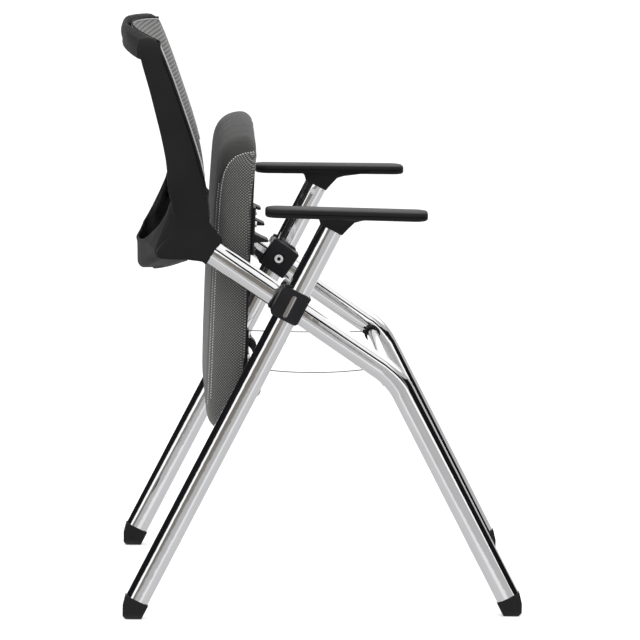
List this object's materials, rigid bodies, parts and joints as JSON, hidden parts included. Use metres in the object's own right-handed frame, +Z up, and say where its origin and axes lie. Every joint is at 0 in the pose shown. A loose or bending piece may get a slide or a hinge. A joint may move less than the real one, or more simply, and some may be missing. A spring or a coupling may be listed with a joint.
{
  "type": "nesting chair",
  "caption": "Nesting chair with crossed chrome legs, a padded flip-up seat, a hollowed mesh back and slim fixed armrests.",
  "frame": {"origin": "on the floor, under the middle of the chair's overall box with the seat folded up", "axes": "+Z up from the floor, -Y the way the sitter faces, +X to the sitter's left"},
  "size_m": [0.6452, 0.6386, 0.9139],
  "materials": {
    "chrome_tube": "bright polished chrome plate",
    "foot_plastic": "matte moulded black",
    "black_plastic": "fine moulded grain, satin black",
    "arm_plastic": "soft-touch black with a fine grain",
    "mesh_cloth": "open striped mesh cloth",
    "seat_fabric": "woven grey upholstery",
    "steel": "plain zinc-plated steel",
    "wire": "coated steel wire"
  },
  "bodies": {
    "frame": {"rear_leg_left": "chrome_tube", "rear_leg_right": "chrome_tube", "front_leg_left": "chrome_tube", "front_leg_right": "chrome_tube", "rear_foot_left": "foot_plastic", "rear_foot_right": "foot_plastic", "front_foot_left": "foot_plastic", "front_foot_right": "foot_plastic", "front_cross_tube": "chrome_tube", "rear_cross_tube": "chrome_tube", "rear_leg_clamp_left": "black_plastic", "rear_leg_clamp_right": "black_plastic", "front_leg_clamp_left": "black_plastic", "front_leg_clamp_right": "black_plastic", "clamp_bolt_left": "steel", "clamp_bolt_right": "steel", "clamp_nut_left": "steel", "clamp_nut_right": "steel", "armrest_left": "arm_plastic", "armrest_right": "arm_plastic", "arm_screw_left": "steel", "arm_screw_right": "steel", "back_mesh": "mesh_cloth", "back_frame": "black_plastic", "socket_screw_left": "steel", "socket_screw_right": "steel", "pivot_collar_left": "steel", "pivot_collar_right": "steel", "wire_clip_rear_left": "black_plastic", "wire_clip_front_left": "black_plastic", "book_wire_left": "wire", "wire_clip_rear_right": "black_plastic", "wire_clip_front_right": "black_plastic", "book_wire_right": "wire"},
    "seat": {"seat_cushion": "seat_fabric", "seat_board": "black_plastic", "hook_screw_right_rear": "steel", "hook_screw_right_front": "steel", "hook_screw_centre_rear": "steel", "hook_screw_centre_front": "steel", "hook_screw_left_rear": "steel", "hook_screw_left_front": "steel", "bearing_screw_right_rear": "steel", "bearing_screw_right_front": "steel", "bearing_screw_left_rear": "steel", "bearing_screw_left_front": "steel", "seat_hook_centre": "black_plastic", "seat_hook_left": "black_plastic", "seat_hook_right": "black_plastic", "seat_bearing_left": "black_plastic", "seat_bearing_right": "black_plastic"}
  },
  "joints": [
    {"name": "seat_flip", "type": "hinge", "parent": "frame", "child": "seat", "pos_m": [0, 0.11107, 0.36205], "axis": [1, 0, 0], "range_deg": [0, 83.9]}
  ]
}
